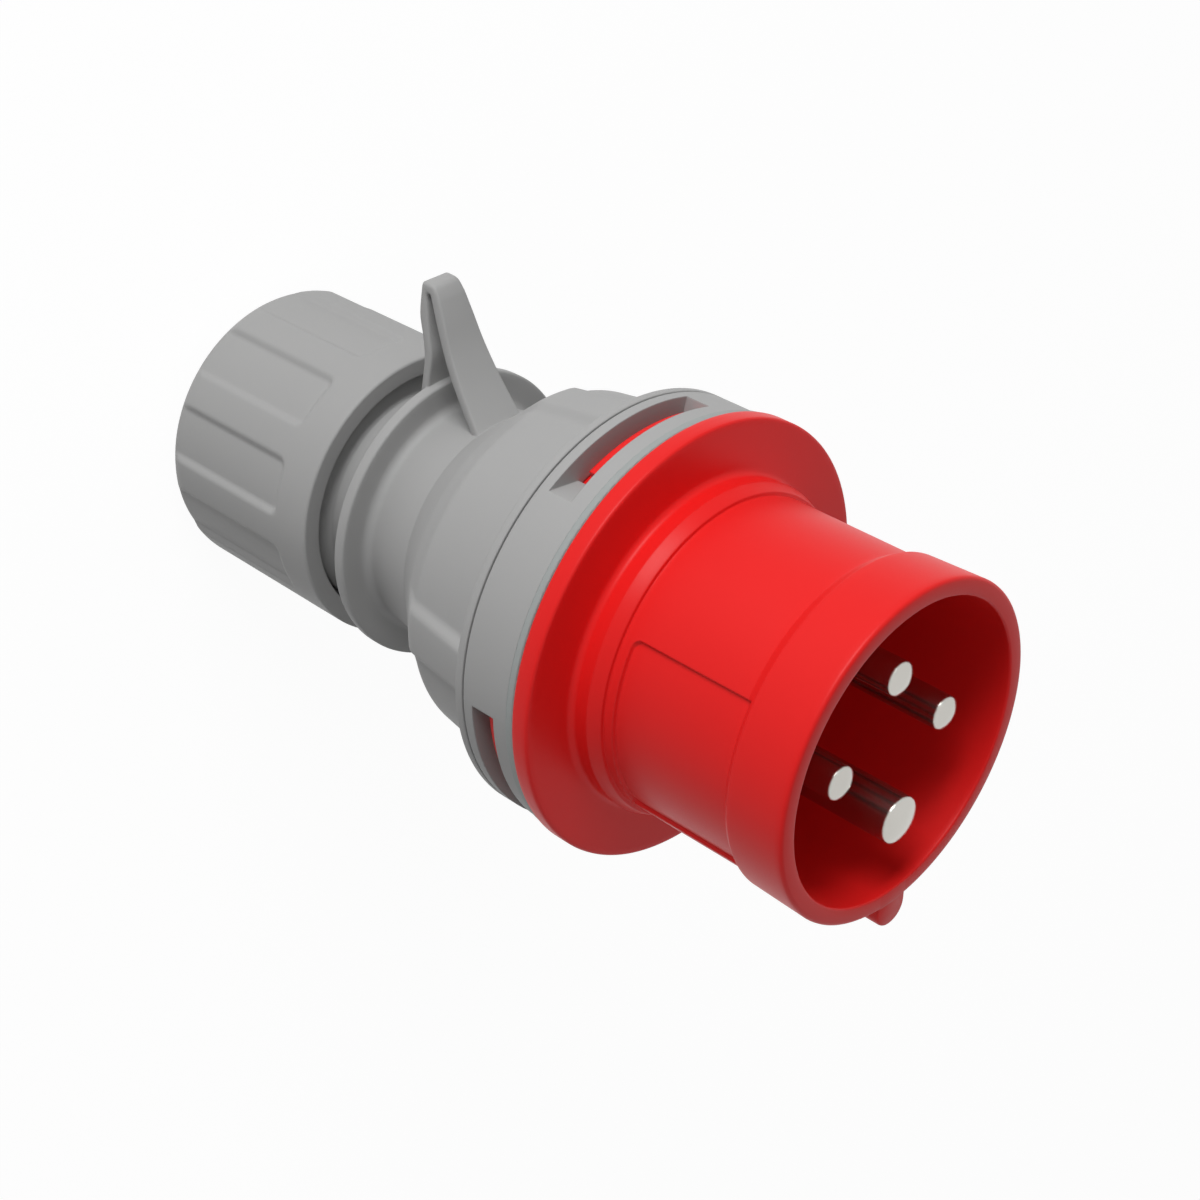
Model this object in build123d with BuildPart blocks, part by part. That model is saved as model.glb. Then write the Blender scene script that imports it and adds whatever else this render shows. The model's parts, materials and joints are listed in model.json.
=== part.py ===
from build123d import *
import os
from math import cos, radians, sin

os.makedirs("parts", exist_ok=True)

# Industrial pin and sleeve plug, 16 A, three phases and earth, in millimetres.
# The axis is vertical. The gland nut is at the bottom with the centre of its rear face at the
# origin, and the pins point up. The hanging loop faces -Y, the earth pin and the key face +Y.
# Angles round the plug are clock angles: 0 at the loop, 90 at +X, 180 at the earth pin.

# Gland nut, screwed home on its thrust ring and grommet
nut_length = 34.4
nut_wall = 3.8
nut_draft = 0.15
nut_rear_round = 4.8
nut_front_round = 0.4
nut_mouth_step = 1.0
nut_mouth_depth = 3.0
nut_mouth_chamfer = 1.0
nut_rear_wall = 4.6
nut_panel_count = 10
nut_panel_angle = 24.0
nut_panel_depth = 0.6
nut_panel_front_margin = 6.6
nut_panel_corner = 1.8
entry_radius = 9.8
thread_clearance = 0.1
nut_gap = 5.0

# Gland inside the nut
thrust_thickness = 2.9
thrust_bore_clearance = 0.8
thrust_clearance = 0.5
thrust_chamfer = 0.5
grommet_length = 20.0
grommet_radius = 15.3
grommet_bore = 7.6
grommet_groove_count = 4
grommet_groove_depth = 0.9
grommet_groove_width = 3.0
grommet_clearance = 0.1
grommet_seat_slope = 2.4
squeeze_allowance = 6.5
tail_wall = 3.55
tail_relief_depth = 0.95
tail_relief_length = 3.9
tail_relief_slope = 0.9
passage_lip = 0.5
passage_slope = 1.0

# Rear housing
neck_step = 0.25
neck_length = 10.9
neck_flange_thickness = 1.9
neck_flange_projection = 3.4
neck_flange_round = 0.35
neck_flange_fillet = 2.4
neck_foot_fillet = 1.4
housing_wall = 2.3
foot_rise = 2.3
foot_inset = 4.2
foot_fillet = 2.6
foot_inner_rise = 0.8
shoulder_rise = 8.4
shoulder_fillet = 3.2
bell_length = 13.6
bell_flare = 2.3
bore_end_slope = 1.5
grip_face_half_width = 16.85
grip_face_depth_rear = 0.45
grip_face_depth_front = 1.25
grip_face_count = 4
band_projection = 2.1
band_rise = 0.7
band_width = 1.3
ring_radius = 32.3

# Hanging loop on the rear housing: (distance from the neck, height above the neck flange's rear face)
loop_rear_line = [(1.8, 0.5), (7.6, 1.1), (11.0, 0.5), (14.3, -0.35), (19.0, -0.2)]
loop_front_line = [(19.0, 3.05), (14.7, 4.65), (10.2, 6.5), (5.3, 9.3), (0.1, 13.0)]
loop_gap_rear_line = [(-0.2, 1.9), (5.1, 2.4), (8.4, 2.6), (11.6, 1.9), (17.0, 0.95)]
loop_gap_front_line = [(17.0, 1.75), (13.2, 3.3), (7.9, 5.8), (3.9, 8.3), (-0.6, 11.6)]
loop_gap_tip_rise = 0.4
loop_tip_half_width = 2.43
loop_half_width_growth = 0.1015
loop_front_tip_round = 1.5
loop_rear_tip_round = 0.5
loop_edge_round = 0.35
loop_root_depth = 1.2

# Locking collar between the housing and the red body
parting_gap = 0.25
parting_step = 0.7
collar_width = 8.55
collar_wall = 4.2
collar_edge_round = 0.25
window_starts = [-16.0, 90.6, 217.3]
window_angle = 49.4
window_ramp_angle = 8.4
window_rear_margin = 1.75
window_width = 4.1
window_depth = 3.3

# Seals
flange_seal_width = 1.45
flange_seal_inset = 0.35
flange_seal_round = 0.3
housing_seal_width = 2.0
housing_seal_depth = 1.6

# Red front body
flange_projection = 0.8
flange_width = 3.0
flange_round = 0.35
base_collar_step = 0.55
base_collar_rise = 5.0
base_cone_spread = 1.2
base_fillet = 2.0
sleeve_length = 37.0
sleeve_mouth_radius = 22.41
sleeve_draft = 0.81
lip_wall = 2.64
lip_step = 1.3
lip_length = 9.4
lip_taper_length = 3.2
lip_outer_round = 0.55
lip_inner_round = 0.3
cavity_depth = 38.0
floor_thickness = 4.5
skirt_length = 18.0
skirt_wall = 2.8
skirt_clearance = 0.1
lug_recess = 1.3
lug_root = 0.5
lug_width = 2.0
lug_clearance = 0.1
lug_end_gap = 2.0
lug_end_clearance = 0.3
key_width = 5.8
key_projection = 3.8
label_start = 56.5
label_angle = 71.1
label_depth = 0.4
label_rear_margin = 1.6
label_front_margin = 0.7
label_corner = 1.5

# Contacts: three phase pins and a thicker earth pin at the key
pin_pitch_radius = 10.92
phase_pin_radius = 2.5
earth_pin_radius = 3.5
phase_pin_recess = 1.2
earth_pin_proud = 0.8
pin_dome_rise = 0.9
pin_edge_round = 0.35
pin_seat_step = 0.4
barrel_radius = 4.2
earth_barrel_radius = 4.7
barrel_length = 21.5
wire_hole_radius = 2.1
wire_hole_depth = 13.0
terminal_height = 3.5
terminal_screw_radius = 1.5
terminal_head_radius = 2.4
terminal_head_height = 1.8
terminal_reach = 1.2
drive_slot_width = 0.8
drive_slot_depth = 0.8
clamp_plate_thickness = 0.8
clamp_plate_width = 2.6
clamp_plate_length = 5.0
clamp_plate_inset = 0.5
fit_clearance = 0.05

# Insulating carrier and its retainer
carrier_plate_thickness = 4.0
carrier_tower_wall = 1.7
carrier_rim_clearance = 0.3
retainer_thickness = 2.2
retainer_margin = 2.15
access_clearance = 0.3
wire_guide_radius = 3.1
carrier_screw_clocks = [45.0, 225.0]
carrier_screw_offset = 3.68
carrier_screw_radius = 1.5
carrier_screw_bite = 3.2
carrier_screw_end_gap = 0.2
carrier_screw_head_radius = 2.75
carrier_screw_head_height = 2.0
carrier_column_radius = 3.3

# How far a cutting shape runs past the surface that it cuts
cutter_reach = 6.0

# Heights up the axis, worked out from the lengths above
nut_front_z = nut_length
neck_flange_rear_z = nut_front_z + nut_gap
neck_flange_front_z = neck_flange_rear_z + neck_flange_thickness
neck_front_z = neck_flange_front_z + neck_length
foot_z = neck_front_z + foot_rise
shoulder_z = foot_z + shoulder_rise
bell_front_z = shoulder_z + bell_length
band_rear_z = bell_front_z + band_rise
band_front_z = band_rear_z + band_width
collar_rear_z = band_front_z + parting_gap
collar_front_z = collar_rear_z + collar_width
flange_rear_z = collar_front_z + flange_seal_width
flange_front_z = flange_rear_z + flange_width
base_collar_z = flange_front_z + base_collar_rise
rim_z = flange_front_z + sleeve_length
lip_rear_z = rim_z - lip_length
cavity_floor_z = rim_z - cavity_depth
floor_rear_z = cavity_floor_z - floor_thickness
skirt_rear_z = flange_rear_z - skirt_length
barrel_rear_z = floor_rear_z - barrel_length
retainer_rear_z = barrel_rear_z - retainer_thickness
carrier_rear_z = floor_rear_z - carrier_plate_thickness
terminal_z = barrel_rear_z + terminal_height
thrust_front_z = nut_rear_wall + thrust_thickness
grommet_front_z = thrust_front_z + grommet_length
grommet_cone_z = grommet_front_z - grommet_seat_slope
tail_rear_z = thrust_front_z + squeeze_allowance
window_rear_z = collar_rear_z + window_rear_margin
window_front_z = window_rear_z + window_width
lug_front_z = window_front_z - lug_clearance
housing_seal_rear_z = (skirt_rear_z + collar_rear_z) / 2 - housing_seal_width

# Radii, worked out from the radii, walls and steps above
tail_bore_radius = grommet_radius + grommet_clearance
tail_radius = tail_bore_radius + tail_wall
tail_relief_radius = tail_radius - tail_relief_depth
cable_passage_radius = grommet_radius - grommet_seat_slope - passage_lip
nut_bore_radius = tail_radius + thread_clearance
nut_radius = nut_bore_radius + nut_wall
nut_rear_radius = nut_radius - nut_draft
nut_mouth_radius = nut_bore_radius + nut_mouth_step
neck_radius = tail_radius + neck_step
neck_inner_radius = neck_radius - housing_wall
neck_flange_radius = neck_radius + neck_flange_projection
bell_front_radius = ring_radius - band_projection
shoulder_radius = bell_front_radius - bell_flare
foot_radius = shoulder_radius - foot_inset
bell_inner_radius = shoulder_radius - housing_wall - grip_face_depth_front
collar_inner_radius = ring_radius - collar_wall
skirt_radius = collar_inner_radius - 2 * skirt_clearance
skirt_inner_radius = skirt_radius - skirt_wall
housing_bore_radius = skirt_radius + skirt_clearance
seal_groove_radius = skirt_radius - housing_seal_depth
flange_radius = ring_radius + flange_projection
flange_seal_radius = flange_radius - flange_seal_inset
lug_radius = ring_radius - lug_recess
sleeve_floor_radius = sleeve_mouth_radius - sleeve_draft
lip_radius = sleeve_mouth_radius + lip_wall
sleeve_radius = lip_radius - lip_step
base_collar_radius = sleeve_radius + base_collar_step
base_cone_radius = base_collar_radius + base_cone_spread
key_radius = lip_radius + key_projection
carrier_screw_pitch_radius = pin_pitch_radius + carrier_screw_offset
retainer_radius = carrier_screw_pitch_radius + carrier_screw_head_radius + retainer_margin


def polar(radius, clock):
    """Point at a radius and a clock angle, which grows from -Y towards +X."""
    return (radius * sin(radians(clock)), -radius * cos(radians(clock)))


def outward(clock):
    """Direction in degrees, from +X, that points outward at a clock angle."""
    return clock - 90


# Gland nut: turned profile, with shallow grip panels that run out through the rounded rear edge
with BuildPart() as panel_cutter:
    with BuildSketch(Plane.XZ):
        with BuildLine():
            Polyline(
                (nut_rear_radius - nut_panel_depth, 0),
                (nut_radius - nut_panel_depth, nut_length - nut_panel_front_margin),
                (nut_radius + cutter_reach, nut_length - nut_panel_front_margin),
                (nut_radius + cutter_reach, 0),
                close=True,
            )
        make_face()
    revolve(axis=Axis.Z, revolution_arc=nut_panel_angle)
    panel_ends = panel_cutter.edges().filter_by(GeomType.LINE).group_by(Edge.length)[0]
    fillet(panel_ends.group_by(Axis.Z)[-1], radius=nut_panel_corner)

with BuildPart() as gland_nut:
    with BuildSketch(Plane.XZ):
        with BuildLine():
            Polyline(
                (entry_radius, 0),
                (nut_rear_radius, 0),
                (nut_radius, nut_length),
                (nut_mouth_radius, nut_length),
                (nut_mouth_radius, nut_length - nut_mouth_depth),
                (nut_bore_radius, nut_length - nut_mouth_depth - nut_mouth_chamfer),
                (nut_bore_radius, nut_rear_wall),
                (entry_radius, nut_rear_wall),
                close=True,
            )
        nut_face = make_face()
        fillet(nut_face.vertices().sort_by_distance((nut_rear_radius, 0))[0], radius=nut_rear_round)
        fillet(nut_face.vertices().sort_by_distance((nut_radius, nut_length))[0], radius=nut_front_round)
    revolve(axis=Axis.Z)
    for index in range(nut_panel_count):
        turn = outward(index * 360 / nut_panel_count) - nut_panel_angle / 2
        add(panel_cutter.part, rotation=(0, 0, turn), mode=Mode.SUBTRACT)
gland_nut.part.label = "gland_nut"
export_step(gland_nut.part, "parts/gland_nut.step")

# Thrust ring: seated on the nut's inner shoulder, it presses the grommet and doesn't turn with the nut
with BuildPart() as thrust_ring:
    with BuildSketch(Plane.XY.offset(nut_rear_wall)):
        Circle(tail_radius - thrust_clearance)
        Circle(entry_radius + thrust_bore_clearance, mode=Mode.SUBTRACT)
    extrude(amount=thrust_thickness)
    thrust_edge = thrust_ring.edges().group_by(Axis.Z)[-1].sort_by(SortBy.RADIUS)[-1]
    chamfer(thrust_edge, length=thrust_chamfer)
thrust_ring.part.label = "thrust_ring"
export_step(thrust_ring.part, "parts/thrust_ring.step")

# Sealing grommet: rubber sleeve with a coned front end and ribs inside that grip the cable
with BuildPart() as sealing_grommet:
    with BuildSketch(Plane.XZ):
        with BuildLine():
            Polyline(
                (grommet_bore, thrust_front_z),
                (grommet_radius, thrust_front_z),
                (grommet_radius, grommet_cone_z),
                (grommet_radius - grommet_seat_slope, grommet_front_z),
                (grommet_bore, grommet_front_z),
                close=True,
            )
        make_face()
        groove_pitch = grommet_length / grommet_groove_count
        with Locations((grommet_bore, thrust_front_z + grommet_length / 2)):
            with GridLocations(1, groove_pitch, 1, grommet_groove_count):
                Rectangle(2 * grommet_groove_depth, grommet_groove_width, mode=Mode.SUBTRACT)
    revolve(axis=Axis.Z)
sealing_grommet.part.label = "sealing_grommet"
export_step(sealing_grommet.part, "parts/sealing_grommet.step")


# Hanging loop: a strap bent from the bell to a tip and back down to the neck flange
def loop_point(point):
    """Point in the plane of the loop, which faces -Y, from its distance and height."""
    return (-neck_radius - point[0], neck_flange_rear_z + point[1])


loop_root_y = loop_root_depth - neck_radius
loop_tip_y = loop_point(loop_rear_line[-1])[0]
root_half_width = loop_tip_half_width + loop_half_width_growth * (loop_root_y - loop_tip_y)
with BuildPart() as loop_taper:
    with BuildSketch(Plane.XY.offset(nut_front_z)):
        with BuildLine():
            Polyline(
                (-root_half_width, loop_root_y),
                (-loop_tip_half_width, loop_tip_y),
                (loop_tip_half_width, loop_tip_y),
                (root_half_width, loop_root_y),
                close=True,
            )
        make_face()
    extrude(amount=shoulder_z - nut_front_z)

with BuildPart() as hanging_loop:
    with BuildSketch(Plane.YZ.offset(-root_half_width)):
        with BuildLine():
            Spline([loop_point(p) for p in loop_rear_line])
            Line(loop_point(loop_rear_line[-1]), loop_point(loop_front_line[0]))
            Spline([loop_point(p) for p in loop_front_line])
            Polyline(
                loop_point(loop_front_line[-1]),
                (loop_root_y, loop_point(loop_front_line[-1])[1]),
                (loop_root_y, loop_point(loop_rear_line[0])[1]),
                loop_point(loop_rear_line[0]),
            )
        loop_face = make_face()
        tip_corners = loop_face.vertices().group_by(Axis.X)[0].sort_by(Axis.Y)
        fillet(tip_corners[-1], radius=loop_front_tip_round)
        fillet(tip_corners[0], radius=loop_rear_tip_round)
        with BuildLine():
            gap_top = (loop_gap_rear_line[-1][1] + loop_gap_front_line[0][1]) / 2
            Spline([loop_point(p) for p in loop_gap_rear_line])
            ThreePointArc(
                loop_point(loop_gap_rear_line[-1]),
                loop_point((loop_gap_rear_line[-1][0] + loop_gap_tip_rise, gap_top)),
                loop_point(loop_gap_front_line[0]),
            )
            Spline([loop_point(p) for p in loop_gap_front_line])
            Line(loop_point(loop_gap_front_line[-1]), loop_point(loop_gap_rear_line[0]))
        make_face(mode=Mode.SUBTRACT)
    extrude(amount=2 * root_half_width)
    add(loop_taper.part, mode=Mode.INTERSECT)
    side_edges = hanging_loop.edges().filter_by(GeomType.BSPLINE)
    fillet(side_edges, radius=loop_edge_round)

# Grip faces: four broad faces sunk a little into the bell, between ridges that keep its full radius
with BuildPart() as grip_face_slab:
    with BuildSketch(Plane.XY.offset(foot_z)):
        for index in range(grip_face_count // 2):
            turn = 180 / grip_face_count + index * 360 / grip_face_count
            Rectangle(2 * (ring_radius + cutter_reach), 2 * grip_face_half_width, rotation=turn)
    extrude(amount=band_rear_z - foot_z)

with BuildPart() as grip_face_cutter:
    with BuildSketch(Plane.XZ):
        with BuildLine():
            Polyline(
                (foot_radius, foot_z),
                (shoulder_radius - grip_face_depth_rear, shoulder_z),
                (bell_front_radius - grip_face_depth_front, bell_front_z),
                (ring_radius + cutter_reach, bell_front_z),
                (ring_radius + cutter_reach, foot_z),
                close=True,
            )
        cutter_face = make_face()
        cutter_shoulder = (shoulder_radius - grip_face_depth_rear, shoulder_z)
        fillet(cutter_face.vertices().sort_by_distance(cutter_shoulder)[0], radius=shoulder_fillet)
    revolve(axis=Axis.Z)
    add(grip_face_slab.part, mode=Mode.INTERSECT)

# Rear housing: gland tail, neck flange, neck and bell in one moulding, with the hanging loop
with BuildPart() as rear_housing:
    with BuildSketch(Plane.XZ):
        with BuildLine():
            Polyline(
                (tail_bore_radius, tail_rear_z),
                (tail_radius, tail_rear_z),
                (tail_radius, neck_flange_rear_z - tail_relief_length),
                (tail_relief_radius, neck_flange_rear_z - tail_relief_length + tail_relief_slope),
                (tail_relief_radius, neck_flange_rear_z),
                (neck_flange_radius, neck_flange_rear_z),
                (neck_flange_radius, neck_flange_front_z),
                (neck_radius, neck_flange_front_z),
                (neck_radius, neck_front_z),
                (foot_radius, foot_z),
                (shoulder_radius, shoulder_z),
                (bell_front_radius, bell_front_z),
                (ring_radius, band_rear_z),
                (ring_radius, band_front_z),
                (ring_radius - parting_step, band_front_z),
                (ring_radius - parting_step, collar_rear_z),
                (housing_bore_radius, collar_rear_z),
                (housing_bore_radius, skirt_rear_z),
                (bell_inner_radius, skirt_rear_z - bore_end_slope),
                (bell_inner_radius, shoulder_z),
                (foot_radius - housing_wall, foot_z + foot_inner_rise),
                (neck_inner_radius, neck_front_z),
                (neck_inner_radius, neck_flange_front_z),
                (cable_passage_radius, neck_flange_rear_z - passage_slope),
                (cable_passage_radius, grommet_front_z + passage_lip),
                (tail_bore_radius, grommet_cone_z - grommet_clearance),
                close=True,
            )
        housing_face = make_face()

        def profile_corner(radius, height):
            return housing_face.vertices().sort_by_distance((radius, height))[0]

        fillet(profile_corner(neck_radius, neck_flange_front_z), radius=neck_flange_fillet)
        fillet(profile_corner(neck_radius, neck_front_z), radius=neck_foot_fillet)
        fillet(profile_corner(foot_radius, foot_z), radius=foot_fillet)
        fillet(profile_corner(shoulder_radius, shoulder_z), radius=shoulder_fillet)
        fillet(profile_corner(neck_flange_radius, neck_flange_rear_z), radius=neck_flange_round)
        fillet(profile_corner(neck_flange_radius, neck_flange_front_z), radius=neck_flange_round)
    revolve(axis=Axis.Z)
    add(grip_face_cutter.part, mode=Mode.SUBTRACT)
    add(hanging_loop.part)
rear_housing.part.label = "rear_housing"
export_step(rear_housing.part, "parts/rear_housing.step")

# Window cutter: one end is radial, the other is a ramp that runs out to the ring's surface
with BuildPart() as window_cutter:
    ramp_foot_angle = window_angle - window_ramp_angle
    ramp_foot = Vector(*polar(ring_radius - window_depth, ramp_foot_angle))
    ramp_top = Vector(*polar(ring_radius, window_angle))
    ramp_end = ramp_top + (ramp_top - ramp_foot).normalized() * cutter_reach
    with BuildSketch(Plane.XY.offset(window_rear_z)):
        with BuildLine():
            Polyline(
                polar(collar_inner_radius - collar_wall, 0),
                polar(ring_radius + cutter_reach, 0),
                polar(ring_radius + cutter_reach, window_angle / 2),
                (ramp_end.X, ramp_end.Y),
                (ramp_foot.X, ramp_foot.Y),
                polar(collar_inner_radius - collar_wall, ramp_foot_angle),
                polar(collar_inner_radius - collar_wall, ramp_foot_angle / 2),
                close=True,
            )
        make_face()
    extrude(amount=window_width)

# Locking collar: ring with three windows that the red lugs snap into
with BuildPart() as locking_collar:
    with BuildSketch(Plane.XZ):
        with BuildLine():
            Polyline(
                (collar_inner_radius, collar_rear_z),
                (ring_radius, collar_rear_z),
                (ring_radius, collar_front_z),
                (collar_inner_radius, collar_front_z),
                close=True,
            )
        collar_face = make_face()
        fillet(collar_face.vertices().group_by(Axis.X)[-1], radius=collar_edge_round)
    revolve(axis=Axis.Z)
    for start in window_starts:
        add(window_cutter.part, rotation=(0, 0, start), mode=Mode.SUBTRACT)
locking_collar.part.label = "locking_collar"
export_step(locking_collar.part, "parts/locking_collar.step")

# Flange seal: soft ring between the collar and the red flange
with BuildPart() as flange_seal:
    with BuildSketch(Plane.XZ):
        with BuildLine():
            Polyline(
                (collar_inner_radius, collar_front_z),
                (flange_seal_radius, collar_front_z),
                (flange_seal_radius, flange_rear_z),
                (collar_inner_radius, flange_rear_z),
                close=True,
            )
        seal_face = make_face()
        fillet(seal_face.vertices().group_by(Axis.X)[-1], radius=flange_seal_round)
    revolve(axis=Axis.Z)
flange_seal.part.label = "flange_seal"
export_step(flange_seal.part, "parts/flange_seal.step")

# Housing seal: ring in a groove of the skirt, pressed outward on the bore of the rear housing
with BuildPart() as housing_seal:
    with BuildSketch(Plane.XY.offset(housing_seal_rear_z)):
        Circle(housing_bore_radius)
        Circle(seal_groove_radius, mode=Mode.SUBTRACT)
    extrude(amount=housing_seal_width)
housing_seal.part.label = "housing_seal"
export_step(housing_seal.part, "parts/housing_seal.step")


# Pin positions: three phase pins and the earth pin, on one circle
pin_clocks = {"pin_l2": 0, "pin_l1": 90, "pin_earth": 180, "pin_l3": 270}
pin_radii = {name: phase_pin_radius for name in pin_clocks} | {"pin_earth": earth_pin_radius}
barrel_radii = {name: barrel_radius for name in pin_clocks} | {"pin_earth": earth_barrel_radius}

# Label recess: a shallow field on the side of the sleeve, which also cuts into the lip's taper
with BuildPart() as label_cutter:
    with BuildSketch(Plane.XZ):
        with BuildLine():
            Polyline(
                (sleeve_radius - label_depth, base_collar_z + label_rear_margin),
                (sleeve_radius + cutter_reach, base_collar_z + label_rear_margin),
                (sleeve_radius + cutter_reach, lip_rear_z - label_front_margin),
                (sleeve_radius - label_depth, lip_rear_z - label_front_margin),
                close=True,
            )
        make_face()
    revolve(axis=Axis.Z, revolution_arc=label_angle)
    label_corner_edges = label_cutter.edges().filter_by(GeomType.LINE).group_by(Edge.length)[0]
    fillet(label_corner_edges.group_by(Axis.Z)[0], radius=label_corner)

# Lug: one of three ribs on the skirt that hook behind the front edge of the collar's windows
with BuildPart() as lug:
    with BuildSketch(Plane.XZ):
        with BuildLine():
            Polyline(
                (skirt_radius - lug_root, lug_front_z - lug_width),
                (lug_radius, lug_front_z - lug_width),
                (lug_radius, lug_front_z),
                (skirt_radius - lug_root, lug_front_z),
                close=True,
            )
        make_face()
    revolve(axis=Axis.Z, revolution_arc=window_angle - window_ramp_angle - lug_end_gap)

# Red front body: sleeve with its lip, flange, skirt, lugs and key, and a floor that the pins pass
with BuildPart() as front_body:
    with BuildSketch(Plane.XZ):
        with BuildLine():
            Polyline(
                (0, floor_rear_z),
                (skirt_inner_radius, floor_rear_z),
                (skirt_inner_radius, skirt_rear_z),
                (skirt_radius, skirt_rear_z),
                (skirt_radius, housing_seal_rear_z),
                (seal_groove_radius, housing_seal_rear_z),
                (seal_groove_radius, housing_seal_rear_z + housing_seal_width),
                (skirt_radius, housing_seal_rear_z + housing_seal_width),
                (skirt_radius, flange_rear_z),
                (flange_radius, flange_rear_z),
                (flange_radius, flange_front_z),
                (base_cone_radius, flange_front_z),
                (base_collar_radius, base_collar_z),
                (sleeve_radius, base_collar_z),
                (sleeve_radius, lip_rear_z - lip_taper_length),
                (lip_radius, lip_rear_z),
                (lip_radius, rim_z),
                (sleeve_mouth_radius, rim_z),
                (sleeve_floor_radius, cavity_floor_z),
                (0, cavity_floor_z),
                close=True,
            )
        body_face = make_face()

        def body_corner(radius, height):
            return body_face.vertices().sort_by_distance((radius, height))[0]

        fillet(body_corner(lip_radius, rim_z), radius=lip_outer_round)
        fillet(body_corner(sleeve_mouth_radius, rim_z), radius=lip_inner_round)
        fillet(body_corner(flange_radius, flange_rear_z), radius=flange_round)
        fillet(body_corner(flange_radius, flange_front_z), radius=flange_round)
        fillet(body_corner(base_cone_radius, flange_front_z), radius=base_fillet)
    revolve(axis=Axis.Z)
    for start in window_starts:
        add(lug.part, rotation=(0, 0, outward(start + lug_end_clearance)))
    key_top = key_radius - key_width / 2
    with BuildSketch(Plane.XY.offset(base_collar_z - base_collar_rise / 2)):
        with Locations((0, (sleeve_radius - lip_step + key_top) / 2)):
            Rectangle(key_width, key_top - sleeve_radius + lip_step)
        with Locations((0, key_top)):
            Circle(key_width / 2)
    extrude(amount=rim_z - base_collar_z + base_collar_rise / 2)
    add(label_cutter.part, rotation=(0, 0, outward(label_start)), mode=Mode.SUBTRACT)
    for name, clock in pin_clocks.items():
        with Locations(Location((*polar(pin_pitch_radius, clock), cavity_floor_z))):
            Hole(radius=pin_radii[name] + pin_seat_step + fit_clearance, depth=floor_thickness)
    for clock in carrier_screw_clocks:
        with Locations(Location((*polar(carrier_screw_pitch_radius, clock), floor_rear_z), (180, 0, 0))):
            Hole(radius=carrier_screw_radius + fit_clearance, depth=carrier_screw_bite)
front_body.part.label = "front_body"
export_step(front_body.part, "parts/front_body.step")

# Contact carrier: insulating plate behind the floor, with a tower round each barrel and screw columns
with BuildPart() as contact_carrier:
    with BuildSketch(Plane.XY.offset(carrier_rear_z)):
        Circle(skirt_inner_radius - carrier_rim_clearance)
    extrude(amount=carrier_plate_thickness)
    with BuildSketch(Plane.XY.offset(barrel_rear_z)):
        for name, clock in pin_clocks.items():
            with Locations(polar(pin_pitch_radius, clock)):
                Circle(barrel_radii[name] + carrier_tower_wall)
        for clock in carrier_screw_clocks:
            with Locations(polar(carrier_screw_pitch_radius, clock)):
                Circle(carrier_column_radius)
    extrude(amount=carrier_rear_z - barrel_rear_z)
    for name, clock in pin_clocks.items():
        with Locations(Location((*polar(pin_pitch_radius, clock), floor_rear_z))):
            Hole(radius=barrel_radii[name] + fit_clearance, depth=floor_rear_z - barrel_rear_z)
        with BuildSketch(Plane((*polar(pin_pitch_radius, clock), terminal_z), z_dir=(*polar(1, clock), 0))):
            Circle(terminal_head_radius + access_clearance)
        extrude(amount=barrel_radii[name] + 2 * carrier_tower_wall, mode=Mode.SUBTRACT)
    for clock in carrier_screw_clocks:
        with Locations(Location((*polar(carrier_screw_pitch_radius, clock), floor_rear_z))):
            Hole(radius=carrier_screw_radius + fit_clearance, depth=floor_rear_z - barrel_rear_z)
contact_carrier.part.label = "contact_carrier"
export_step(contact_carrier.part, "parts/contact_carrier.step")

# Contact retainer: plate behind the towers that the barrels bear on, with a guide hole for each wire
with BuildPart() as contact_retainer:
    with BuildSketch(Plane.XY.offset(retainer_rear_z)):
        Circle(retainer_radius)
        for clock in pin_clocks.values():
            with Locations(polar(pin_pitch_radius, clock)):
                Circle(wire_guide_radius, mode=Mode.SUBTRACT)
        for clock in carrier_screw_clocks:
            with Locations(polar(carrier_screw_pitch_radius, clock)):
                Circle(carrier_screw_radius + fit_clearance, mode=Mode.SUBTRACT)
    extrude(amount=retainer_thickness)
contact_retainer.part.label = "contact_retainer"
export_step(contact_retainer.part, "parts/contact_retainer.step")

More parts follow.
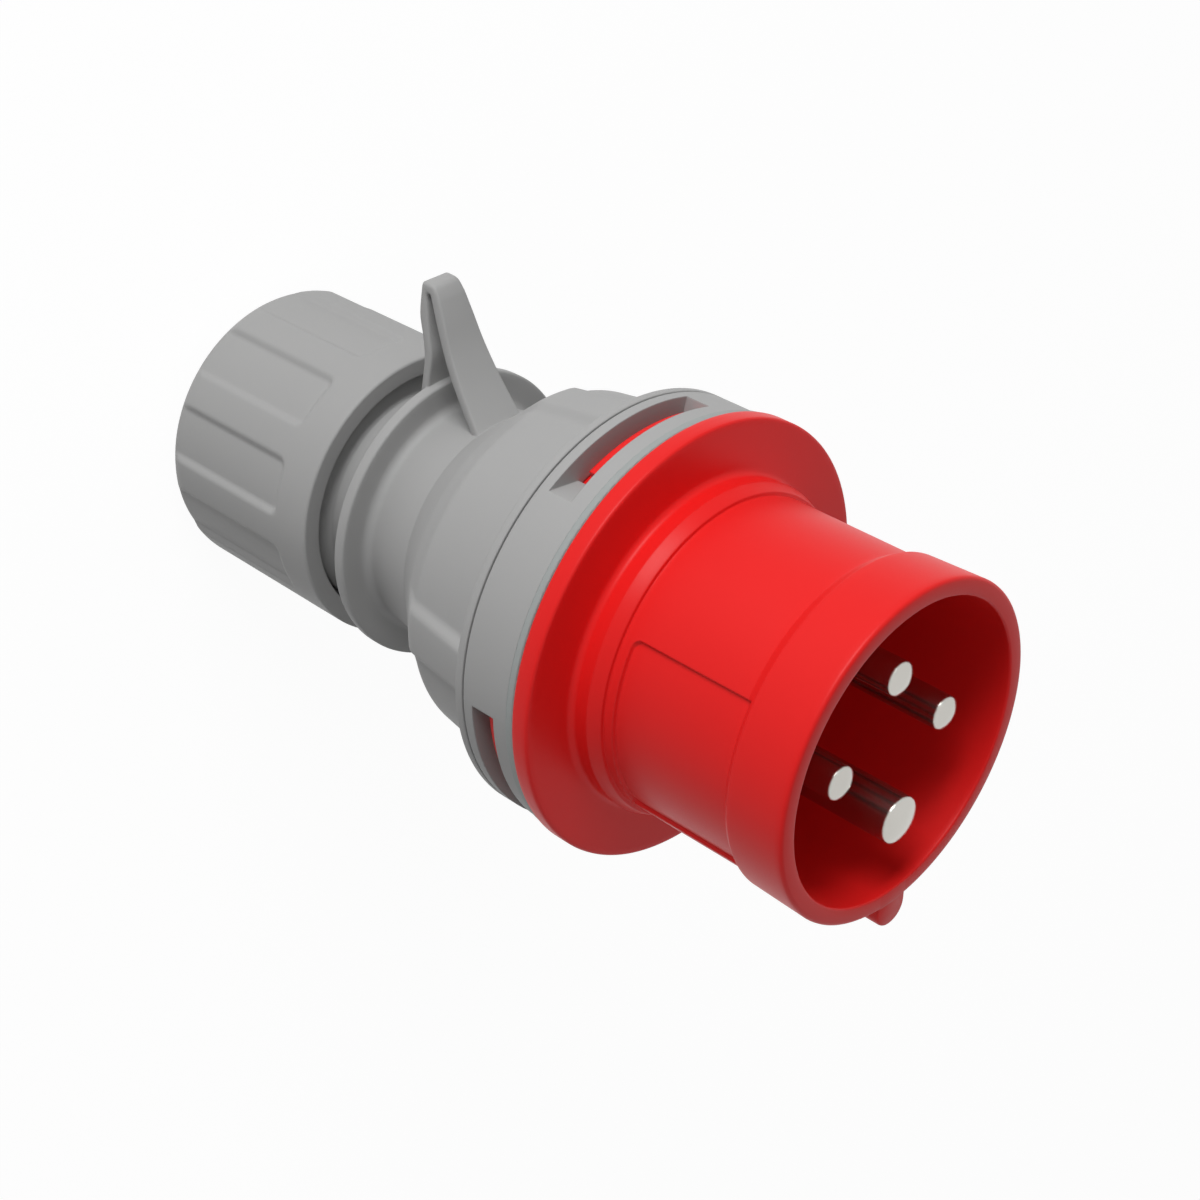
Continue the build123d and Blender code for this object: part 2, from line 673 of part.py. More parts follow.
# Contacts: pin and barrel in one turned piece, each with its clamp plate and its radial terminal screw
for name, clock in pin_clocks.items():
    centre = polar(pin_pitch_radius, clock)
    radius = pin_radii[name]
    tip_z = rim_z + (earth_pin_proud if name == "pin_earth" else -phase_pin_recess)
    screw_axis = Plane((*centre, terminal_z), x_dir=(0, 0, 1), z_dir=(*polar(1, clock), 0))
    plate_offset = wire_hole_radius - clamp_plate_inset
    head_offset = barrel_radii[name] + terminal_reach

    with BuildPart() as contact:
        with BuildSketch(Plane.XZ):
            with BuildLine():
                Polyline(
                    (0, barrel_rear_z),
                    (barrel_radii[name], barrel_rear_z),
                    (barrel_radii[name], floor_rear_z),
                    (radius + pin_seat_step, floor_rear_z),
                    (radius + pin_seat_step, cavity_floor_z),
                    (radius, cavity_floor_z),
                    (radius, tip_z - pin_dome_rise),
                )
                dome_radius = (radius**2 + pin_dome_rise**2) / (2 * pin_dome_rise)
                RadiusArc((radius, tip_z - pin_dome_rise), (0, tip_z), -dome_radius)
                Line((0, tip_z), (0, barrel_rear_z))
            contact_face = make_face()
            tip_corner = contact_face.vertices().sort_by_distance((radius, tip_z - pin_dome_rise))[0]
            fillet(tip_corner, radius=pin_edge_round)
        revolve(axis=Axis.Z)
        with Locations(Location((0, 0, barrel_rear_z), (180, 0, 0))):
            Hole(radius=wire_hole_radius, depth=wire_hole_depth)
        with BuildSketch(Plane((0, 0, terminal_z), z_dir=(*polar(1, clock), 0))):
            Circle(terminal_screw_radius + fit_clearance)
        extrude(amount=2 * barrel_radii[name], mode=Mode.SUBTRACT)
    placed = contact.part.moved(Location((*centre, 0)))
    placed.label = name
    export_step(placed, f"parts/{name}.step")

    with BuildPart() as clamp_plate:
        with BuildSketch(screw_axis.offset(plate_offset - clamp_plate_thickness)):
            Rectangle(clamp_plate_length, clamp_plate_width)
        extrude(amount=clamp_plate_thickness)
    clamp_plate.part.label = name.replace("pin", "clamp_plate")
    export_step(clamp_plate.part, f"parts/{clamp_plate.part.label}.step")

    with BuildPart() as terminal_screw:
        with BuildSketch(screw_axis.offset(plate_offset)):
            Circle(terminal_screw_radius)
        extrude(amount=head_offset - plate_offset)
        with BuildSketch(screw_axis.offset(head_offset)):
            Circle(terminal_head_radius)
        extrude(amount=terminal_head_height)
        with BuildSketch(screw_axis.offset(head_offset + terminal_head_height - drive_slot_depth)):
            Rectangle(2 * terminal_head_radius, drive_slot_width)
        extrude(amount=drive_slot_depth, mode=Mode.SUBTRACT)
    terminal_screw.part.label = name.replace("pin", "terminal_screw")
    export_step(terminal_screw.part, f"parts/{terminal_screw.part.label}.step")

# Carrier screws: two long screws that clamp retainer and carrier on the floor of the front body
for index, clock in enumerate(carrier_screw_clocks):
    with BuildPart() as carrier_screw:
        with BuildSketch(Plane.XY.offset(retainer_rear_z)):
            with Locations(polar(carrier_screw_pitch_radius, clock)):
                Circle(carrier_screw_radius)
        extrude(amount=floor_rear_z + carrier_screw_bite - carrier_screw_end_gap - retainer_rear_z)
        with BuildSketch(Plane.XY.offset(retainer_rear_z - carrier_screw_head_height)):
            with Locations(polar(carrier_screw_pitch_radius, clock)):
                Circle(carrier_screw_head_radius)
        extrude(amount=carrier_screw_head_height)
        with BuildSketch(Plane.XY.offset(retainer_rear_z - carrier_screw_head_height)):
            with Locations(polar(carrier_screw_pitch_radius, clock)):
                Rectangle(2 * carrier_screw_head_radius, drive_slot_width)
        extrude(amount=drive_slot_depth, mode=Mode.SUBTRACT)
    carrier_screw.part.label = f"carrier_screw_{index + 1}"
    export_step(carrier_screw.part, f"parts/{carrier_screw.part.label}.step")
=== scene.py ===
import json
from math import atan2, cos, degrees, hypot, radians, sin, tan

import bmesh
import bpy
from mathutils import Matrix, Vector


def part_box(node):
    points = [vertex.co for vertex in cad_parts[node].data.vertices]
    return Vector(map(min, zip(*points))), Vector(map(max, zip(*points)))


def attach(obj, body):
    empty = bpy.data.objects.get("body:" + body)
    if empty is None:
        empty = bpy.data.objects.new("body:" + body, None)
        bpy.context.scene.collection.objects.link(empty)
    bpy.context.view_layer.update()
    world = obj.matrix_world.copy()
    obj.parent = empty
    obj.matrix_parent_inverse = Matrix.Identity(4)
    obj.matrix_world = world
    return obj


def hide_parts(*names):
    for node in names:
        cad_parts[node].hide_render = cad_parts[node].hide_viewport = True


# Industrial pin and sleeve plug, dressed with moulded plastic, rubber and plated metal.
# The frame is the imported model's, in metres: the plug stands on its gland nut, pins up. Outlines
# are written in mm. Clock angles go round the axis from -Y, the hanging loop's side, towards +X.

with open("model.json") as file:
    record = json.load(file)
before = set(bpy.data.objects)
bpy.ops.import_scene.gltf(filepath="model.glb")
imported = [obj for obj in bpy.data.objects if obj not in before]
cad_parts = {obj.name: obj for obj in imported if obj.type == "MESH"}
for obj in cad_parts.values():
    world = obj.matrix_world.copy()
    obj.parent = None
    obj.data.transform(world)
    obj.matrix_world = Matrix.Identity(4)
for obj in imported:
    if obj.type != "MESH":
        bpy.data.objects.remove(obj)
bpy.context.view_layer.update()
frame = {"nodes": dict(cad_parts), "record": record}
mm = 0.001

# Camera, set by its clock angle, height angle and distance from the middle of the sleeve's rim
rim_height = 128.75 * mm
camera_clock = 48.33
camera_elevation = 27.34
camera_distance = 311.76 * mm
camera_aim = Vector((0.82, 0.91, 73.77)) * mm
camera_roll = 118.3
camera_lens = 71.14
sensor_width = 36.0
near_clip = 0.01

bevel_samples = 6


def radial(clock):
    """Unit vector outward at a clock angle, which grows from -Y towards +X."""
    return Vector((sin(radians(clock)), -cos(radians(clock)), 0))


def raised(clock, elevation):
    """Unit vector at a clock angle and at a height above the level, both in degrees."""
    return radial(clock) * cos(radians(elevation)) + Vector((0, 0, sin(radians(elevation))))


def place_camera():
    """Looks down on the rim from the side, rolled so that the plug lies across the picture."""
    eye = Vector((0, 0, rim_height)) + raised(camera_clock, camera_elevation) * camera_distance
    forward = (camera_aim - eye).normalized()
    level = forward.cross(Vector((0, 0, 1))).normalized()
    upright = level.cross(forward)
    right = level * cos(radians(camera_roll)) + upright * sin(radians(camera_roll))
    turned_up = right.cross(forward)
    data = bpy.data.cameras.new("camera")
    data.lens = camera_lens
    data.sensor_width = sensor_width
    data.clip_start = near_clip
    camera = bpy.data.objects.new("camera", data)
    axes = Matrix((right, turned_up, -forward)).transposed()
    camera.matrix_world = Matrix.Translation(eye) @ axes.to_4x4()
    bpy.context.scene.collection.objects.link(camera)
    bpy.context.scene.camera = camera


place_camera()


class Socket:
    """One output of a node, with Python operators that add Math nodes to its tree."""

    def __init__(self, work, output):
        self.work = work
        self.output = output

    def _maths(self, operation, first, second):
        inputs = {0: first, 1: second}
        return self.work.node("ShaderNodeMath", {"operation": operation}, inputs)["Value"]

    def __add__(self, other):
        return self._maths("ADD", self, other)

    def __radd__(self, other):
        return self._maths("ADD", other, self)

    def __mul__(self, other):
        return self._maths("MULTIPLY", self, other)

    def __rmul__(self, other):
        return self._maths("MULTIPLY", other, self)


class NodeWork:
    """A node tree under construction and the one shader in it that the nodes feed."""

    def __init__(self, owner, shader_type):
        owner.use_nodes = True
        self.tree = owner.node_tree
        self.shader = next(n for n in self.tree.nodes if n.type == shader_type)

    def node(self, kind, settings=None, inputs=None):
        """Adds a node, sets its properties, then feeds its inputs. Returns its outputs by name."""
        made = self.tree.nodes.new(kind)
        for key, value in (settings or {}).items():
            setattr(made, key, value)
        for key, value in (inputs or {}).items():
            self._feed(made.inputs[key], value)
        return {output.name: Socket(self, output) for output in made.outputs if output.enabled}

    def _feed(self, target, value):
        if isinstance(value, Socket):
            self.tree.links.new(value.output, target)
        else:
            target.default_value = value

    def set(self, **values):
        """Feeds the shader's own sockets. Underscores in a name stand for spaces."""
        for name, value in values.items():
            self._feed(self.shader.inputs[name.replace("_", " ")], value)


class Finish(NodeWork):
    """A material under construction: one Principled shader and the nodes that feed it."""

    def __init__(self, name):
        self.material = bpy.data.materials.new(name)
        super().__init__(self.material, "BSDF_PRINCIPLED")

    def position(self):
        """Object position in metres, the same in every view and pose."""
        return self.node("ShaderNodeTexCoord")["Object"]

    def noise(self, scale, detail):
        """Cloudy noise from 0 to 1. A scale of 1000 has clouds about 1 mm across."""
        inputs = {"Vector": self.position(), "Scale": scale, "Detail": detail}
        return self.node("ShaderNodeTexNoise", {}, inputs)["Fac"]

    def mix(self, factor, first, second):
        """Colour between two others. The numbers are the Mix node's own factor, A and B sockets."""
        inputs = {0: factor, 6: (*first, 1), 7: (*second, 1)}
        return self.node("ShaderNodeMix", {"data_type": "RGBA"}, inputs)["Result"]

    def bump(self, height, distance, strength, soft_edge):
        """Fine relief over edges that shade as if rounded by soft_edge."""
        rounded = self.node("ShaderNodeBevel", {"samples": bevel_samples}, {"Radius": soft_edge})
        inputs = {"Height": height, "Distance": distance, "Strength": strength,
                  "Normal": rounded["Normal"]}
        return self.node("ShaderNodeBump", {}, inputs)["Normal"]


def moulded_grey():
    """Fine matt moulded plastic with faint flow clouds."""
    finish = Finish("moulded_grey_plastic")
    grain = finish.noise(scale=2600, detail=3)
    cloud = finish.noise(scale=38, detail=3)
    colour = finish.mix(cloud, (0.40, 0.40, 0.398), (0.435, 0.434, 0.431))
    finish.set(Base_Color=colour, Roughness=0.46 + 0.12 * grain, Specular_IOR_Level=0.25)
    finish.set(Normal=finish.bump(grain, distance=0.03 * mm, strength=0.2, soft_edge=0.3 * mm))
    return finish.material


def moulded_red():
    """Satin moulded plastic, a little glossier than the grey."""
    finish = Finish("moulded_red_plastic")
    grain = finish.noise(scale=3000, detail=2)
    cloud = finish.noise(scale=30, detail=3)
    colour = finish.mix(cloud, (0.83, 0.012, 0.012), (0.90, 0.018, 0.017))
    finish.set(Base_Color=colour, Roughness=0.36 + 0.08 * grain, Specular_IOR_Level=0.2)
    finish.set(Normal=finish.bump(grain, distance=0.015 * mm, strength=0.15, soft_edge=0.25 * mm))
    return finish.material


def dark_insulator():
    """Dark matt plastic of the carrier, its retainer and the thrust ring."""
    finish = Finish("dark_insulating_plastic")
    grain = finish.noise(scale=1800, detail=3)
    colour = finish.mix(grain, (0.035, 0.036, 0.04), (0.055, 0.056, 0.06))
    finish.set(Base_Color=colour, Roughness=0.5 + 0.1 * grain)
    finish.set(Normal=finish.bump(grain, distance=0.03 * mm, strength=0.3, soft_edge=0.15 * mm))
    return finish.material


def black_rubber():
    """Dull rubber of the grommet and the housing seal."""
    finish = Finish("soft_black_rubber")
    grain = finish.noise(scale=1400, detail=4)
    colour = finish.mix(grain, (0.018, 0.018, 0.019), (0.035, 0.035, 0.036))
    finish.set(Base_Color=colour, Roughness=0.68 + 0.15 * grain)
    finish.set(Normal=finish.bump(grain, distance=0.05 * mm, strength=0.4, soft_edge=0.2 * mm))
    return finish.material


def pale_seal():
    """Soft seal strip between the collar and the flange."""
    finish = Finish("pale_seal_strip")
    grain = finish.noise(scale=1200, detail=3)
    colour = finish.mix(grain, (0.33, 0.355, 0.35), (0.38, 0.405, 0.40))
    finish.set(Base_Color=colour, Roughness=0.55 + 0.1 * grain)
    finish.set(Normal=finish.bump(grain, distance=0.02 * mm, strength=0.2, soft_edge=0.15 * mm))
    return finish.material


def plated_nickel():
    """Polished nickel plate with a faint warm cloud. Its soft edge also rounds the pins' tips."""
    finish = Finish("nickel_plated_brass")
    cloud = finish.noise(scale=160, detail=2)
    grain = finish.noise(scale=2200, detail=2)
    colour = finish.mix(cloud, (0.50, 0.485, 0.45), (0.56, 0.545, 0.51))
    finish.set(Base_Color=colour, Metallic=1.0, Roughness=0.20 + 0.06 * cloud)
    finish.set(Normal=finish.bump(grain, distance=0.001 * mm, strength=0.1, soft_edge=0.6 * mm))
    return finish.material


def zinc_steel():
    """Bright zinc plate of the screws and clamp plates."""
    finish = Finish("zinc_plated_steel")
    grain = finish.noise(scale=1100, detail=4)
    colour = finish.mix(grain, (0.6, 0.61, 0.62), (0.7, 0.7, 0.7))
    finish.set(Base_Color=colour, Metallic=1.0, Roughness=0.3 + 0.15 * grain)
    finish.set(Normal=finish.bump(grain, distance=0.01 * mm, strength=0.2, soft_edge=0.1 * mm))
    return finish.material


finishes = {
    "grey_plastic": moulded_grey(),
    "red_plastic": moulded_red(),
    "dark_plastic": dark_insulator(),
    "black_rubber": black_rubber(),
    "pale_seal": pale_seal(),
    "nickel": plated_nickel(),
    "zinc_steel": zinc_steel(),
}


def dress_nodes():
    """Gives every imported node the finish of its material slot."""
    slot_of = {part["node"]: part["material_slot"] for part in frame["record"]["subparts"]}
    for name, piece in frame["nodes"].items():
        piece.data.materials.clear()
        piece.data.materials.append(finishes[slot_of[name]])


dress_nodes()


def smooth_step(value):
    """0 below 0, 1 above 1 and a soft rise between."""
    value = min(max(value, 0.0), 1.0)
    return value * value * (3 - 2 * value)


def off_nearest(clock, pitch):
    """Angle from the nearest of the places that repeat at a pitch, the first one at 0."""
    return (clock + pitch / 2) % pitch - pitch / 2


def outside_field(past_side, past_end, corner):
    """How far a point lies outside a sunk field with a rounded corner. Negative inside it."""
    side, end = past_side + corner, past_end + corner
    return hypot(max(side, 0), max(end, 0)) + min(max(side, end), 0) - corner


def arc_points(centre, radius, start, end, count):
    """Points on an arc in the plane of radius and height. Angles in degrees, 0 outward, 90 up."""
    turns = [radians(start + (end - start) * i / count) for i in range(count + 1)]
    return [(centre[0] + radius * cos(turn), centre[1] + radius * sin(turn)) for turn in turns]


def run_points(start, end, step):
    """Points on a straight run, about one step apart, without its two ends."""
    across, up = end[0] - start[0], end[1] - start[1]
    count = max(1, round(hypot(across, up) / step))
    return [(start[0] + across * i / count, start[1] + up * i / count) for i in range(1, count)]


def rounded_outline(corners, step, closed=True):
    """Outline from (radius, height, rounding) corners, with arcs and divided runs."""
    arc_step = 0.3
    ends = []
    for i, (x, y, rounding) in enumerate(corners):
        corner = Vector((x, y))
        if not rounding:
            ends.append([corner])
            continue
        before = (Vector(corners[i - 1][:2]) - corner).normalized()
        after = (Vector(corners[(i + 1) % len(corners)][:2]) - corner).normalized()
        half = before.angle(after) / 2
        reach = rounding / tan(half)
        centre = corner + (before + after).normalized() * rounding / sin(half)
        first = corner + before * reach - centre
        last = corner + after * reach - centre
        start = degrees(atan2(first.y, first.x))
        sweep = (degrees(atan2(last.y, last.x)) - start + 180) % 360 - 180
        count = max(3, round(abs(radians(sweep)) * rounding / arc_step))
        arc = arc_points(centre, rounding, start, start + sweep, count)
        ends.append([Vector(point) for point in arc])
    outline = []
    for arc, following in zip(ends, ends[1:] + ends[:1]):
        outline += [tuple(point) for point in arc]
        if closed or following is not ends[0]:
            outline += run_points(arc[-1], following[0], step)
    return outline


def curve_through(points, count):
    """Smooth curve through points, as count + 1 points (Catmull-Rom)."""
    padded = [points[0]] + points + [points[-1]]
    curve = []
    for i in range(count + 1):
        place = i / count * (len(points) - 1)
        k = min(int(place), len(points) - 2)
        t = place - k
        a, b, c, d = (Vector(padded[k + j]) for j in range(4))
        curve.append(0.5 * (2 * b + (c - a) * t + (2 * a - 5 * b + 4 * c - d) * t**2
                            + (3 * b - a - 3 * c + d) * t**3))
    return curve


def skin_rings(made, rings, closed=False):
    """Joins rings of equal count with faces. An open row of rings gets a cap at each end."""
    for ring, following in zip(rings, rings[1:] + rings[:1] if closed else rings[1:]):
        for i in range(len(ring)):
            j = (i + 1) % len(ring)
            made.faces.new((ring[i], ring[j], following[j], following[i]))
    if not closed:
        made.faces.new(rings[0])
        made.faces.new(rings[-1][::-1])


def turned_mesh(made, outline, segments, sunk, closed=True):
    """Turns an outline of (radius, height) round the axis, with the radius that sunk gives."""
    rings = []
    for radius, height in outline:
        ring = []
        for i in range(segments):
            clock = i * 360 / segments
            place = radial(clock) * sunk(clock, radius, height)
            ring.append(made.verts.new((place + Vector((0, 0, height))) * mm))
        rings.append(ring)
    skin_rings(made, rings, closed)


bodies = frame["record"]["behaviour"]["bodies"]
body_of = {node: body for body, nodes in bodies.items() for node in nodes}
sharp_angle = 38


def stand_in(name, made, node, slot):
    """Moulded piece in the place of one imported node. It rides on the node's body."""
    bmesh.ops.recalc_face_normals(made, faces=made.faces)
    mesh = bpy.data.meshes.new(name)
    made.to_mesh(mesh)
    made.free()
    mesh.shade_smooth()
    mesh.set_sharp_from_angle(angle=radians(sharp_angle))
    mesh.materials.append(finishes[slot])
    piece = bpy.data.objects.new(name, mesh)
    bpy.context.scene.collection.objects.link(piece)
    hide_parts(node)
    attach(piece, body_of[node])


def soft_gripped_nut():
    """Gland nut whose ten grip panels have the soft sloping sides of the real moulding."""
    low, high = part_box("gland_nut")
    length = (high[2] - low[2]) / mm
    front_radius = (high[0] - low[0]) / 2 / mm
    draft, rear_round, front_round = 0.15, 4.8, 0.4
    entry_radius, rear_wall, bore_radius = 9.8, 4.6, 19.05
    mouth_radius, mouth_depth, mouth_chamfer = 20.05, 3.0, 1.0
    panel_pitch, panel_half_angle, panel_front = 360 / 10, 12.0, length - 6.6
    panel_depth, panel_slope, panel_corner = 0.8, 1.1, 1.8

    rear_radius = front_radius - draft
    rear_centre = (rear_radius - rear_round, rear_round)
    front_centre = (front_radius - front_round, length - front_round)
    rear_arc = arc_points(rear_centre, rear_round, start=-90, end=0, count=14)
    front_arc = arc_points(front_centre, front_round, start=0, end=90, count=5)
    inside = [(mouth_radius, length), (mouth_radius, length - mouth_depth),
              (bore_radius, length - mouth_depth - mouth_chamfer),
              (bore_radius, rear_wall), (entry_radius, rear_wall), (entry_radius, 0)]
    side = run_points(rear_arc[-1], front_arc[0], step=0.4)

    def sunk(clock, radius, height):
        if radius < rear_radius - rear_round or height > length - front_round:
            return radius
        off_centre = abs(off_nearest(clock, panel_pitch))
        past_side = radians(off_centre - panel_half_angle) * front_radius
        outside = outside_field(past_side, height - panel_front, panel_corner)
        depth = panel_depth * smooth_step(-outside / panel_slope)
        return min(radius, rear_radius + draft * height / length - depth)

    nut = bmesh.new()
    turned_mesh(nut, rear_arc + side + front_arc + inside, segments=420, sunk=sunk)
    stand_in("gland_nut_soft_grips", nut, "gland_nut", "grey_plastic")


def hanging_loop(made):
    """Strap from the neck flange out to a tip and back to the bell, in lines of (reach, height)."""
    tip_reach, tip_half_width, width_growth = 38.2, 2.43, 0.1015
    edge_round, most_round_share, run_steps = 0.45, 0.45, 26
    outer_below = [(19.6, 40.1), (21.0, 39.95), (26.8, 40.5), (30.2, 39.9), (33.5, 39.05),
                   (37.7, 39.2)]
    outer_above = [(36.9, 42.75), (33.9, 44.05), (29.4, 45.9), (24.5, 48.7), (19.3, 52.4),
                   (18.4, 53.2)]
    inner_below = [(18.4, 41.1), (21.0, 41.5), (24.3, 41.8), (27.6, 42.0), (30.8, 41.3),
                   (36.2, 40.35)]
    inner_above = [(36.2, 41.15), (32.4, 42.7), (27.1, 45.2), (23.1, 47.7), (18.6, 51.0),
                   (17.6, 51.8)]
    outer_tip = arc_points((37.7, 39.7), radius=0.5, start=-60, end=0, count=3)
    outer_tip += arc_points((36.7, 40.95), radius=1.5, start=0, end=60, count=5)
    inner_tip = arc_points((36.2, 40.75), radius=0.4, start=-60, end=80, count=8)
    outer = curve_through(outer_below, run_steps) + outer_tip
    outer += curve_through(outer_above, run_steps)[1:]
    inner = curve_through(inner_below, run_steps) + inner_tip
    inner += curve_through(inner_above, run_steps)[1:]

    falling, rising = (90, 60, 30, 0), (0, 30, 60, 90)
    strap_corners = ((1, 0, falling), (1, 1, rising), (-1, 1, falling), (-1, 0, rising))
    sections = []
    for outside, inside in zip(map(Vector, outer), map(Vector, inner)):
        across = inside - outside
        thickness = across.length
        across.normalize()
        rounding = min(edge_round, thickness * most_round_share)
        section = []
        for side, level, turns in strap_corners:
            for turn in turns:
                drop = rounding * (1 - sin(radians(turn)))
                inset = rounding * (1 - cos(radians(turn)))
                place = outside + across * (drop if level == 0 else thickness - drop)
                half_width = tip_half_width + width_growth * (tip_reach - place.x) - inset
                section.append(made.verts.new(Vector((side * half_width, -place.x, place.y)) * mm))
        sections.append(section)
    skin_rings(made, sections)


def rear_housing():
    """Grey housing: threaded gland tail, neck flange, neck and a bell with four soft grip faces."""
    tail, thread_low, thread_high, thread_pitch = 18.95, 14.6, 31.7, 3.0
    thread_depth, thread_step, thread_run_out = 0.9, 0.3, 1.2
    groove_half_width, groove_slope = 0.8, 0.5
    thread_levels = int((thread_high - thread_low) / thread_step)
    foot, shoulder, bell_front = 57.96, 62.9, 76.5
    shoulder_radius, bell_growth, rear_slope, skin = 27.9, 2.3, 0.86, 0.8
    near = 0.01
    depth_rear, depth_front = 0.9, 1.25
    ridge_pitch, ridge_turn, ridge_half_width, ridge_slope = 90, -2.5, 3.0, 1.9
    corners = [
        (15.4, 14.0, 0), (tail, 14.0, 0.3),
        *((tail, thread_low + thread_step * i, 0) for i in range(thread_levels + 1)),
        (tail, 32.2, 0.3), (16.9, 33.6, 0.5), (16.9, 41.1, 0.3),
        (22.9, 41.1, 0.35), (22.9, 43.0, 0.35), (17.95, 43.0, 1.3), (19.3, 52.4, 0.6),
        (23.65, foot, 0.35), (shoulder_radius, shoulder, 3.2), (30.2, bell_front, 0.25),
        (32.3, 77.2, 0.3), (32.3, 78.5, 0.1), (31.6, 78.5, 0), (31.6, 78.75, 0), (28.0, 78.75, 0),
        (28.0, 70.75, 0), (24.35, 69.25, 0), (24.35, shoulder, 0), (21.4, 58.5, 0),
        (17.0, 52.4, 0), (15.6, 43.0, 0), (12.4, 40.1, 0), (12.4, 28.0, 0), (15.4, 25.0, 0),
    ]

    def threaded(clock, height):
        """Radius of the tail with its right-handed groove, which runs out at both ends."""
        from_groove = 2 * abs((height / thread_pitch - clock / 360) % 1 - 0.5)
        rear_end = smooth_step((height - thread_low) / thread_run_out)
        front_end = smooth_step((thread_high - height) / thread_run_out)
        groove = smooth_step((groove_half_width - from_groove) / groove_slope)
        return tail - thread_depth * rear_end * front_end * groove

    def sunk(clock, radius, height):
        if radius > tail - near and thread_low < height < thread_high:
            return threaded(clock, height)
        up_bell = (height - shoulder) / (bell_front - shoulder)
        growth = bell_growth * up_bell if up_bell > 0 else rear_slope * (height - shoulder)
        if not foot < height < bell_front or radius < shoulder_radius + growth - skin:
            return radius
        depth = depth_rear * smooth_step((height - foot) / (shoulder - foot))
        depth += (depth_front - depth_rear) * max(up_bell, 0)
        aside = abs(radius * sin(radians(off_nearest(clock - ridge_turn, ridge_pitch))))
        return radius - depth * smooth_step((aside - ridge_half_width) / ridge_slope)

    housing = bmesh.new()
    turned_mesh(housing, rounded_outline(corners, step=0.7), segments=400, sunk=sunk)
    hanging_loop(housing)
    stand_in("rear_housing_soft_faces", housing, "rear_housing", "grey_plastic")


def key_rib(made):
    """Key on the sleeve's side at the earth pin, with a half-round outer edge and a rounded top."""
    half_width, root, middle = 2.9, 22.5, 25.95
    levels = [(94.25, 0), (128.3, 0), (128.52, 0.08), (128.65, 0.3)]
    rings = []
    for height, inset in levels:
        width = half_width - inset
        outer_edge = arc_points((0, middle), width, start=0, end=180, count=16)
        outline = [(-width, root), (width, root)] + outer_edge
        rings.append([made.verts.new(Vector((x, y, height)) * mm) for x, y in outline])
    skin_rings(made, rings)


def snap_lugs(made):
    """Three ribs on the skirt that fill the rear edge of the collar's windows."""
    inner, outer, low, high = 27.4, 31.0, 82.5, 84.5
    section = ((inner, low), (outer, low), (outer, high), (inner, high))
    starts, whole_degrees = (-15.7, 90.9, 217.6), 40
    for start in starts:
        rings = []
        for i in range(whole_degrees):
            out = radial(start + i)
            rings.append([made.verts.new((out * radius + Vector((0, 0, height))) * mm)
                          for radius, height in section])
        skin_rings(made, rings)


def front_body():
    """Red moulding: skirt, flange, sleeve with a lip and a label recess, floor, key and lugs."""
    sleeve, lip_rear = 23.75, 119.35
    recess_low, recess_high, recess_step, recess_levels = 98.35, 118.65, 0.15, 13
    recess_start, recess_end = 56.25, 127.5
    recess_depth, recess_corner, recess_slope = 0.55, 1.5, 0.18
    seal_radius, seal_front, gap_front = 31.4, 88.75, 88.98
    near = 0.1
    corners = [
        (25.1, 86.25, 0), (25.1, 70.75, 0), (27.9, 70.75, 0), (27.9, 72.75, 0), (26.3, 72.75, 0),
        (26.3, 74.75, 0), (27.9, 74.75, 0), (27.9, seal_front, 0), (seal_radius, seal_front, 0),
        (seal_radius, gap_front, 0), (33.1, gap_front, 0.2), (33.1, 91.75, 0.4),
        (24.7, 91.75, 1.0), (25.05, 94.8, 0.1), (24.3, 96.75, 0.1), (sleeve, 96.75, 0.05),
        *((sleeve, recess_low + recess_step * (i - 1), 0) for i in range(recess_levels)),
        (sleeve, 117.85, 0.6), (24.25, recess_high - 0.01, 0), (24.27, recess_high + 0.03, 0),
        (24.70, lip_rear, 0.3), (25.05, 128.75, 0.55), (22.41, 128.75, 0.3), (21.6, 90.75, 0),
    ]

    def sunk(clock, radius, height):
        if not recess_low < height < recess_high or radius < sleeve - near:
            return radius
        off_middle = abs(clock - (recess_start + recess_end) / 2)
        past_side = radians(off_middle - (recess_end - recess_start) / 2) * sleeve
        outside = outside_field(past_side, recess_low - height, recess_corner)
        return radius - (radius - sleeve + recess_depth) * smooth_step(-outside / recess_slope)

    body = bmesh.new()
    outline = rounded_outline(corners, step=0.8, closed=False)
    turned_mesh(body, outline, segments=780, sunk=sunk, closed=False)
    key_rib(body)
    snap_lugs(body)
    stand_in("front_body_moulded", body, "front_body", "red_plastic")


soft_gripped_nut()
rear_housing()
front_body()


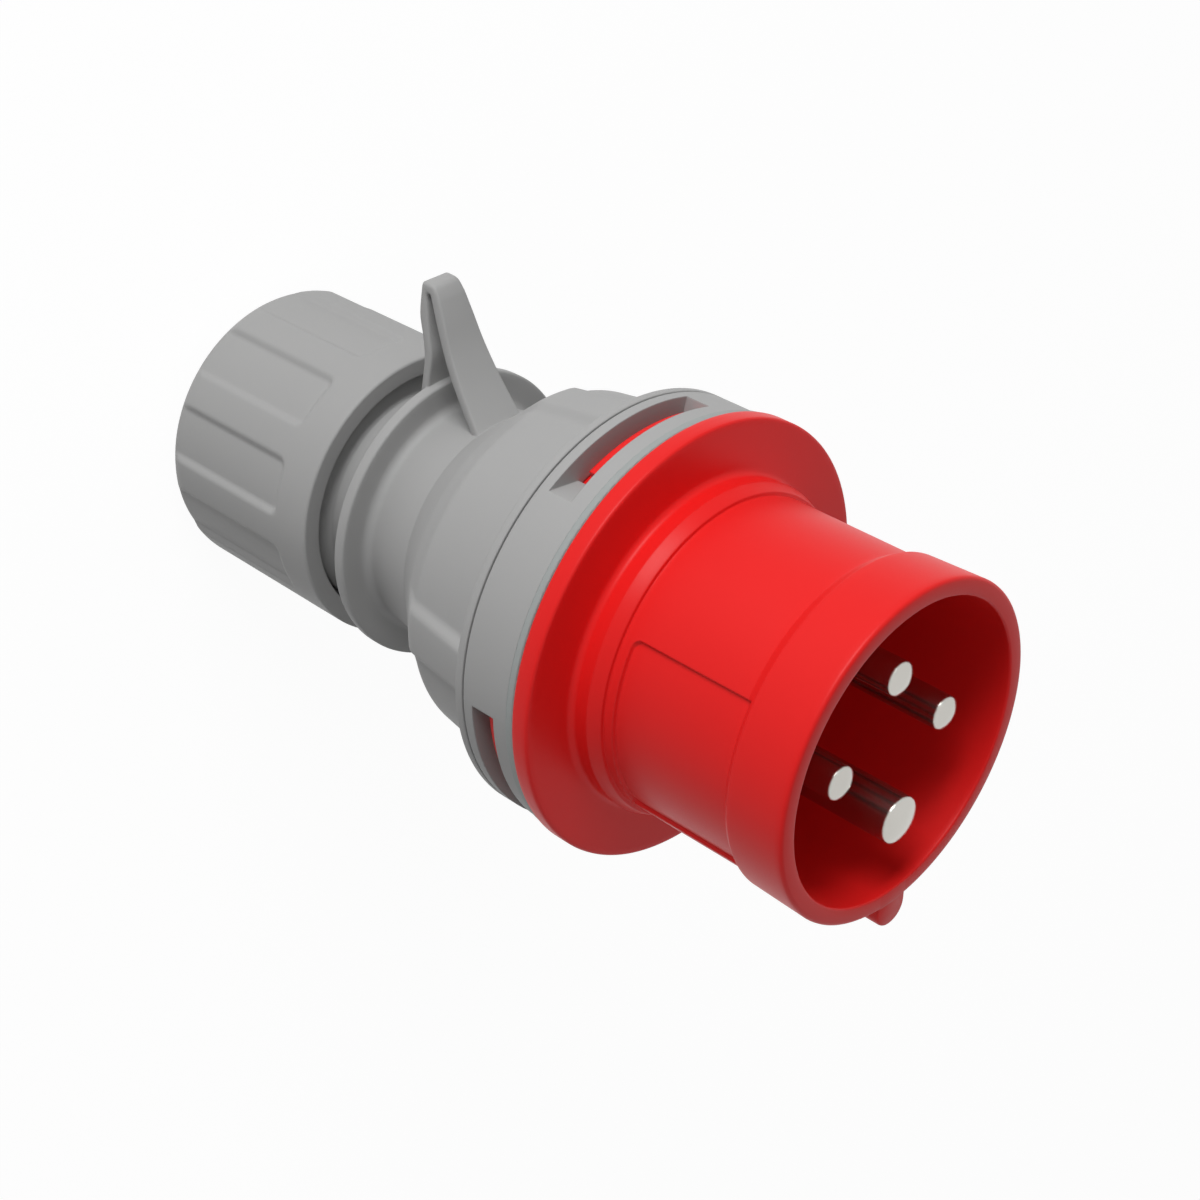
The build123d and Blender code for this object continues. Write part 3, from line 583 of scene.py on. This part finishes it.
def seen_or_mirrored(work):
    """1 for camera, glossy and transmission rays and 0 for rays that only carry light."""
    path = work.node("ShaderNodeLightPath")
    rays = path["Is Camera Ray"] + path["Is Glossy Ray"] + path["Is Transmission Ray"]
    return work.node("ShaderNodeClamp", {}, {"Value": rays})["Result"]


def paper_floor():
    """White paper under the plug. It is seen as near white and keeps the plug's shadow."""
    paper_size, paper_white = 4.0, (0.92, 0.92, 0.92, 1)
    glow_strength, glow_share = 1.09, 0.86
    bpy.ops.mesh.primitive_plane_add(size=paper_size)
    floor = bpy.context.object
    floor.name = "studio_floor"
    paper = Finish("studio_paper")
    paper.set(Base_Color=paper_white, Roughness=0.9, Specular_IOR_Level=0.0)
    white_glow = {"Color": (1, 1, 1, 1), "Strength": glow_strength}
    glow = paper.node("ShaderNodeEmission", {}, white_glow)["Emission"]
    lit = Socket(paper, paper.shader.outputs["BSDF"])
    share = seen_or_mirrored(paper) * glow_share
    mixed = paper.node("ShaderNodeMixShader", {}, {0: share, 1: lit, 2: glow})["Shader"]
    surface = next(n for n in paper.tree.nodes if n.type == "OUTPUT_MATERIAL").inputs["Surface"]
    paper.tree.links.new(mixed.output, surface)
    floor.data.materials.append(paper.material)


def soft_lamp(name, clock, elevation, distance, width, height, power):
    """Flat lamp aimed at the plug's middle, from a clock angle and a height in degrees."""
    direction = raised(clock, elevation)
    data = bpy.data.lights.new(name, "AREA")
    data.shape = "RECTANGLE"
    data.size = width
    data.size_y = height
    data.energy = power
    lamp = bpy.data.objects.new(name, data)
    lamp.location = camera_aim + direction * distance
    lamp.rotation_euler = direction.to_track_quat("Z", "Y").to_euler()
    bpy.context.scene.collection.objects.link(lamp)


def studio():
    """Pale floor, soft daylight all round, and one soft lamp from the upper left of the picture."""
    backdrop_white, sky_level = 1.0, 0.25
    scene = bpy.context.scene
    scene.view_settings.view_transform = "Standard"
    paper_floor()

    scene.world = bpy.data.worlds.new("studio_world")
    sky = NodeWork(scene.world, "BACKGROUND")
    seen = seen_or_mirrored(sky)
    sky.set(Color=(1, 1, 1, 1), Strength=sky_level + seen * (backdrop_white - sky_level))

    soft_lamp("key_lamp", clock=17, elevation=8, distance=0.9, width=0.5, height=0.28, power=5.1)


studio()
